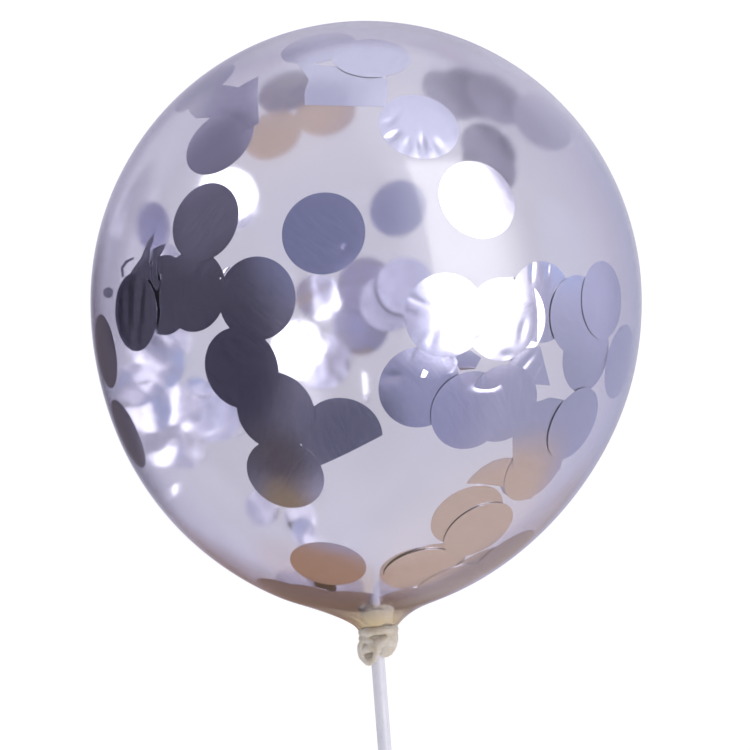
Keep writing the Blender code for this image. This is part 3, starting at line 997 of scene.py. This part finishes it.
    # a torn strip that curls between the bright disc and the slate one under it
    g.disc(446, 363, layer=1.6, shape=[(439, 347), (452, 351), (458, 362), (454, 372), (440, 376),
                                       (433, 377.5)], face=(17, -2), curl=0.3,
           folds=[soft_wave(26, 0.3, 3.0)], seed=26)
    g.disc(428, 364, layer=0, shape=[(432.5, 350), (435.5, 350), (430, 369), (425, 377.5), (420.5, 377), (424, 368)],
           face=(38, 2), seed=27)
    g.disc(420.2, 387.9, layer=2.2, fine=2, seed=28,
           folds=[soft_wave(28, 0.08), dent(-10.5, 4.5, 4.0, 1.9, 8, 0.30), dent(-3.0, 13.0, 5.0, 1.2, 60, 0.15)])
    g.disc(470.2, 411.3, layer=0.6, fine=3, seed=29,
           folds=[soft_wave(29, 0.06), ledge(6.4, 8.0, 5.6, 2.1, -6, 0.66)])
    g.disc(503.3, 404.1, layer=1.2, folds=[soft_wave(30, 0.06)], seed=30)
    g.disc(467, 361, layer=1.9, shape=[(452, 357), (470, 350), (481, 358), (475, 369), (460, 370)],
           face=(40, -45), seed=31)
    g.disc(530, 368, layer=1.9, shape=[(509, 362), (524, 350), (540, 346), (545, 366), (550, 385.5), (531, 384),
                                       (520, 376), (512, 366)], fine=2, seed=32,
           folds=[dent(-2.0, 2.0, 4.0, 1.2, 40, 0.16), dent(3.0, -1.0, 3.0, 1.2, 46, 0.10),
                  dent(0.0, -4.0, 5.0, 1.0, 10, 0.08)])
    g.disc(575, 424.5, layer=0, folds=[soft_wave(33, 0.05)], seed=33)
    g.disc(540, 437, layer=1.5, shape=[(512, 428), (520, 410), (534, 402.5), (550, 397), (564, 399.5), (566, 420),
                                       (563, 455), (560, 471), (540, 471), (512, 469.5)],
           folds=[soft_wave(34, 0.06)], seed=34)
    g.disc(536, 469, layer=2.1, folds=[soft_wave(35, 0.06)], seed=35)
    g.disc(500, 472, layer=2.7, shape=[(466, 483.5), (471, 477), (481, 468), (493, 460.5), (505, 457.5),
                                       (518, 458), (528, 463), (531, 478), (530, 491), (515, 489), (500, 486),
                                       (483, 484)], folds=[soft_wave(36, 0.06)], seed=36)
    g.disc(515, 492, layer=3.3, shape=[(499, 485), (515, 487), (532, 491), (532, 499), (512, 498.5), (503, 493)],
           face=(38, -62), seed=37)
    # the pale group at the right rim
    g.disc(604, 300, layer=0, folds=[soft_wave(38, 0.08)], seed=38)
    g.disc(621, 362, layer=0, folds=[soft_wave(39, 0.08)], seed=39)
    g.disc(578, 315, layer=1.0, folds=[soft_wave(41, 0.08), dent(-8.0, -6.0, 5.0, 2.0, 80, 0.08)], seed=41)
    g.disc(588, 354, layer=1.5, folds=[soft_wave(40, 0.08)], seed=40)
    g.disc(543, 302, layer=2.3, fine=3, seed=42,
           folds=[soft_wave(42, 0.12), dent(-4.6, 12.0, 3.6, 0.8, 82, 0.36), dent(2.8, 12.6, 3.0, 0.6, 84, 0.28),
                  dent(9.0, -9.0, 3.0, 1.6, 60, 0.14)])
    made.append(g.make())

    # top of the near side
    g = Foil("confetti_top")
    g.disc(371.6, 55.8, layer=0, folds=[soft_wave(43, 0.05)], seed=43)
    g.disc(340, 88, layer=0.8, shape=[(305, 105.5), (330, 106), (357, 106.5), (386, 107), (389, 92), (387, 76),
                                      (360, 70), (330, 66), (312, 66), (309, 80), (304, 93)],
           folds=[soft_wave(44, 0.05)], seed=44)
    g.disc(306, 65, layer=1.5, shape=[(291, 55), (305, 58), (320, 66), (318, 78), (309, 80), (301, 68)], seed=45)
    g.disc(318, 46, layer=2.1, folds=[soft_wave(46, 0.1)], seed=46)
    made.append(g.make())

    # lower near side and the pile at the neck
    g = Foil("confetti_low")
    g.disc(327.8, 565.7, layer=0, folds=[soft_wave(51, 0.03)], seed=51)
    g.disc(479.6, 531.1, layer=0, folds=[soft_wave(54, 0.05)], seed=54)
    g.disc(467.9, 516.1, layer=1.1, folds=[soft_wave(53, 0.05)], seed=53)
    g.disc(421, 571, layer=0.5, folds=[soft_wave(55, 0.05)], seed=55)
    g.disc(430, 566, layer=1.6, folds=[soft_wave(56, 0.05)], seed=56)
    g.disc(417, 569, layer=2.5, folds=[soft_wave(57, 0.05)], seed=57)
    g.disc(320, 594, layer=0.2, shape=[(304, 581), (317, 580), (332, 583), (336, 592), (333, 603), (324, 605),
                                       (316, 600), (311, 590)], face=(-153, -65), seed=59)
    for k, (px, py, lay) in enumerate([(290, 594, 1.6), (313, 598.5, 1.0), (351, 603.5, 0.5), (407, 600.5, 0), (427, 594, 0.6),
                                       (450, 582.5, 0), (477, 568, 0.7), (505, 554, 0)]):
        g.disc(px, py, layer=lay, folds=[soft_wave(60 + k, 0.1)], seed=60 + k)
    made.append(g.make())

    # far side
    g = Foil("confetti_far")
    g.disc(398, 208, side="far", layer=0, face=(41, -40), curl=0.6, folds=[soft_wave(70, 0.25, 6.0)], seed=70)
    for k, (px, py, lay) in enumerate([(360, 327, 0.8), (489, 148, 0.8), (490, 166, 1.6), (272, 134, 1.2), (325, 112, 0)]):
        g.disc(px, py, side="far", layer=lay, folds=[soft_wave(71 + k, 0.2)], seed=71 + k)
    for k, (px, py, lay, face) in enumerate([(366, 286, 0.4, (5, 8)), (388, 303, 3.0, (12, 12)), (405, 286, 0, (13, 11)),
                                             (288, 91, 0.8, (149, -53))]):
        g.disc(px, py, side="far", layer=lay, face=face, curl=0.25, folds=[soft_wave(75 + k, 0.12)], seed=75 + k)
    for k, (px, py, lay) in enumerate([(451, 94, 0), (472, 92, 0.8), (497, 98, 1.6)]):
        g.disc(px, py, side="far", layer=lay, face=(-131, -44), curl=0.8, folds=[soft_wave(81 + k, 0.2)],
               seed=81 + k)
    g.disc(543, 121.5, side="far", layer=0, face=(-121, -44), curl=0.8, folds=[soft_wave(90, 0.2)], seed=90)
    g.disc(153, 227, side="far", layer=0, r=11.5, wide=0.66, face=(-4, -4), curl=0.3, folds=[soft_wave(84, 0.1)],
           seed=84)
    g.disc(228, 194, side="far", layer=3.5, r=12.5, wide=1.2, face=(40, -2), curl=0.8, folds=[soft_wave(85, 0.1)], seed=85)
    g.disc(234, 200, side="far", layer=0, r=14, face=(68, 16), curl=0.3, folds=[soft_wave(91, 0.1)], seed=91)
    g.disc(301, 350, side="far", layer=0.8, wide=1.1, face=(43, 4), curl=0.7, folds=[soft_wave(86, 0.4, 5.0)], seed=86)
    g.disc(322, 361, side="far", layer=0, face=(17, 22), curl=0.5, folds=[soft_wave(87, 0.3, 6.0)], seed=87)
    g.disc(262, 508, side="far", layer=0, r=9, face=(70, 16), curl=0.3, folds=[soft_wave(88, 0.2)], seed=88)
    g.disc(213, 411, side="far", layer=0, face=(17, 10), curl=0.3, folds=[soft_wave(89, 0.2)], seed=89)
    # the pile at the neck, behind
    for k, (px, py, lay) in enumerate([(306, 588, 0.8), (332, 586, 0), (406, 586, 1.6)]):
        g.disc(px, py, side="far", layer=lay, folds=[soft_wave(100 + k, 0.2)], seed=100 + k)
    made.append(g.make())

    # crushed bright pieces on the far side
    g = Foil("confetti_crushed_far")
    for k, (px, py, r, face, amount) in enumerate([
            (160, 362, 13, (66, 18), 0.32), (148, 407, 12, (68, 16), 0.34), (180, 410, 12, (66, 20), 0.34),
            (184, 446, 11, (66, 18), 0.32), (163, 445, 10, (68, 16), 0.34), (146, 352, 11, (69, 16), 0.30),
            (167, 257, 7, (64, 16), 0.30), (318, 297, 12, (24, 8), 0.35), (300, 517, 8.5, (64, 16), 0.45),
            (172, 340, 10, (68, 18), 0.30), (135, 385, 10, (70, 16), 0.30),
            (303, 532, 7, (66, 18), 0.4), (196, 396, 9, (68, 18), 0.32)]):
        g.disc(px, py, side="far", layer=1 + 0.5 * (k % 3), r=r, fine=2, face=face,
               folds=[crumple(amount, 7, 200 + k)], seed=200 + k)
    for shape, face in ((((193, 438), (240, 420.5), (241, 424), (194, 441)), (38, 2)),
                        (((226, 438), (245, 432.5), (245.5, 434.5), (227, 440)), (38, 2)),
                        (((160, 393), (212, 394), (212, 397), (160, 396)), (38, 4)),
                        (((362, 372), (366, 372), (369, 402), (365, 402)), (36, 2)),
                        (((172, 486), (177, 484), (177, 494), (173, 496)), (38, 0))):
        mx, my = (sum(v[i] for v in shape) / 4.0 for i in (0, 1))
        g.disc(mx, my, side="far", layer=4.0, shape=list(shape), face=face, seed=230)
    made.append(g.make())
    return made


# ------------------------------------------------------------------ the studio
def own_direction(az, polar):
    """Unit vector in the world; az turns from X to A, polar is from N."""
    a, p = math.radians(az), math.radians(polar)
    v = np.array([math.sin(p) * math.cos(a), math.sin(p) * math.sin(a), math.cos(p)])
    return TURN @ v


def make_world():
    """A soft room: one large window to the right, darker to the left, warm below."""
    w = bpy.data.worlds.new("studio")
    bpy.context.scene.world = w
    w.use_nodes = True
    nt = w.node_tree
    nt.nodes.clear()
    coord = nt.nodes.new("ShaderNodeTexCoord")
    way = coord.outputs["Generated"]

    def dot(v):
        n = node(nt, "ShaderNodeVectorMath", operation="DOT_PRODUCT")
        n.inputs[1].default_value = tuple(float(c) for c in v)
        nt.links.new(way, n.inputs[0])
        return n.outputs["Value"]

    def step(value, lo, hi):
        n = node(nt, "ShaderNodeMapRange", interpolation_type="SMOOTHSTEP")
        n.inputs["From Min"].default_value = lo
        n.inputs["From Max"].default_value = hi
        nt.links.new(value, n.inputs["Value"])
        return n.outputs["Result"]

    def blend(fac, under, over):
        n = node(nt, "ShaderNodeMix", data_type="RGBA")
        nt.links.new(fac, n.inputs[0])
        for i, c in ((6, under), (7, over)):
            if isinstance(c, tuple):
                n.inputs[i].default_value = (*c, 1.0)
            else:
                nt.links.new(c, n.inputs[i])
        return n.outputs[2]

    room = (0.62, 0.60, 0.76)
    for az, polar, inner, outer, col in (
            (190, 76, 28, 66, (0.120, 0.115, 0.155)),      # dark to the left
            (203, 57, 4, 22, (0.090, 0.080, 0.125)),
            (228, 112, 12, 27, (0.71, 0.69, 0.80)),        # pale low behind it
            (224, 138, 8, 24, (0.60, 0.585, 0.70)),
            (190, 140, 8, 24, (0.170, 0.145, 0.175)),      # dark far behind
            (124, 122, 12, 34, (0.55, 0.535, 0.68)),
            (144, 124, 6, 18, (0.82, 0.81, 0.91)),
            (160, 120, 6, 15, (0.16, 0.15, 0.21)),
            (176, 118, 5, 14, (0.035, 0.030, 0.050)),
            (150, 76, 5, 24, (0.220, 0.205, 0.275)),
            (136, 92, 4, 18, (0.34, 0.32, 0.435)),
            (124, 29, 8, 34, (0.32, 0.345, 0.54)),
            (90, 100, 14, 29, (1.16, 1.19, 1.34)),          # light above
            (106, 84, 4, 18, (0.86, 0.88, 1.06)),
            (46, 137, 10, 26, (0.92, 0.91, 1.07)),         # pale wall behind, high on the right
            (15, 143, 8, 20, (0.82, 0.83, 1.00)),
            (92, 137, 8, 20, (0.80, 0.79, 0.93)),
            (72, 72, 6, 26, (1.34, 1.38, 1.58)),
            (0, 118, 24, 48, (0.66, 0.68, 0.88)),          # pale to the right
            (4, 97, 8, 26, (0.86, 0.88, 1.12)),
            (17, 88, 4, 16, (0.80, 0.95, 1.35)),
            (330, 88, 14, 36, (0.63, 0.65, 0.83)),
            (302, 44, 10, 30, (0.50, 0.52, 0.75)),         # slate below
            (262, 46, 8, 26, (0.195, 0.200, 0.280)),
            (238, 66, 4, 15, (0.160, 0.135, 0.150)),
            (299, 102, 18, 33, (1.02, 0.80, 0.61)),        # warm surface under it
            (281, 117, 4, 16, (0.95, 0.72, 0.52)),
            (258, 112, 10, 20, (0.66, 0.40, 0.24)),
            (259, 143, 14, 26, (0.36, 0.24, 0.19)),
            (304, 140, 9, 20, (0.62, 0.51, 0.47)),
            (246, 82, 3, 12, (0.44, 0.33, 0.20)),
            (60, 3, 5, 16, (0.62, 0.62, 0.94))):
        f = step(dot(own_direction(az, polar)), math.cos(math.radians(outer)),
                 math.cos(math.radians(inner)))
        room = blend(f, room, col)
    x, a, n = dot(TURN[:, 0]), dot(TURN[:, 1]), dot(TURN[:, 2])
    lon = math_node(nt, "ARCTAN2", x, n)
    lat = math_node(nt, "ARCSINE", a)

    def product(*factors):
        out = factors[0]
        for f in factors[1:]:
            out = math_node(nt, "MULTIPLY", out, f)
        return out

    # the curtain's glow, then the window pane in it
    edge = math_node(nt, "MULTIPLY_ADD", lat, -0.10, math.radians(27.0))
    inside = math_node(nt, "SUBTRACT", lon, edge)
    glow = product(step(inside, math.radians(-18.0), math.radians(2.0)),
                   step(lon, math.radians(64.0), math.radians(44.0)),
                   step(lat, math.radians(58.0), math.radians(46.0)),
                   step(lat, math.radians(-24.0), math.radians(-12.0)))
    room = blend(glow, room, (2.30, 2.35, 2.75))
    head = math_node(nt, "MULTIPLY_ADD", lon, -0.10, math.radians(55.0))
    pane = product(step(inside, math.radians(-1.0), math.radians(2.0)),
                   step(lon, math.radians(74.0), math.radians(46.0)),
                   step(math_node(nt, "SUBTRACT", lat, head), math.radians(2.0), math.radians(-3.0)),
                   step(lat, math.radians(-17.5), math.radians(-12.0)))
    room = blend(pane, room, (6.2, 6.2, 6.3))

    # what lights matt surfaces, and the plain pale backdrop
    soft = blend(step(dot(own_direction(20, 60)), -0.6, 1.0), (0.50, 0.50, 0.56), (1.05, 1.05, 1.10))
    path = nt.nodes.new("ShaderNodeLightPath")
    mirrored = math_node(nt, "GREATER_THAN", path.outputs["Glossy Depth"], 0.5)
    plain = math_node(nt, "MAXIMUM", path.outputs["Is Camera Ray"], path.outputs["Is Transmission Ray"])
    out = blend(mirrored, blend(plain, soft, (1.0, 1.0, 1.0)), room)
    back = node(nt, "ShaderNodeBackground", Strength=1.0)
    nt.links.new(out, back.inputs["Color"])
    wo = nt.nodes.new("ShaderNodeOutputWorld")
    nt.links.new(back.outputs[0], wo.inputs["Surface"])


def make_floor():
    me = bpy.data.meshes.new("floor")
    s = 8.0
    me.from_pydata([(-s, -s, -0.0006), (s, -s, -0.0006), (s, s, -0.0006), (-s, s, -0.0006)], [], [(0, 1, 2, 3)])
    ob = bpy.data.objects.new("floor", me)
    bpy.context.scene.collection.objects.link(ob)
    m = bpy.data.materials.new("pale_floor")
    m.use_nodes = True
    nt = m.node_tree
    nt.nodes.clear()
    out = nt.nodes.new("ShaderNodeOutputMaterial")
    matt = node(nt, "ShaderNodeBsdfDiffuse", Color=(0.14, 0.14, 0.145, 1.0))
    glow = node(nt, "ShaderNodeEmission", Color=(1.0, 1.0, 1.0, 1.0), Strength=0.93)
    both = nt.nodes.new("ShaderNodeAddShader")
    nt.links.new(matt.outputs[0], both.inputs[0])
    nt.links.new(glow.outputs[0], both.inputs[1])
    clear = node(nt, "ShaderNodeBsdfTransparent")
    path = nt.nodes.new("ShaderNodeLightPath")
    mirrored = math_node(nt, "GREATER_THAN", path.outputs["Glossy Depth"], 0.5)
    mix = nt.nodes.new("ShaderNodeMixShader")
    nt.links.new(mirrored, mix.inputs[0])
    nt.links.new(both.outputs[0], mix.inputs[1])
    nt.links.new(clear.outputs[0], mix.inputs[2])
    nt.links.new(mix.outputs[0], out.inputs["Surface"])
    me.materials.append(m)


def make_camera():
    cam = bpy.data.cameras.new("camera")
    cam.sensor_width = 36.0
    cam.lens = FOCAL / 750.0 * 36.0
    cam.clip_start = 0.01
    cam.clip_end = 100.0
    ob = bpy.data.objects.new("camera", cam)
    turn = Matrix([[float(TURN[i, j]) for j in range(3)] for i in range(3)]).to_4x4()
    ob.matrix_world = Matrix.Translation(Vector(to_world(np.array(EYE)))) @ turn
    bpy.context.scene.collection.objects.link(ob)
    bpy.context.scene.camera = ob


make_camera()
bpy.context.scene.view_settings.view_transform = "Standard"
make_world()
make_floor()

film = make_film()
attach(film, "root")
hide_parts("balloon")

knot = make_knot()
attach(knot, "root")
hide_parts("balloon")

stick = make_stick()
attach(stick, "root")
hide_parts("stick")

confetti()

bpy.context.view_layer.update()
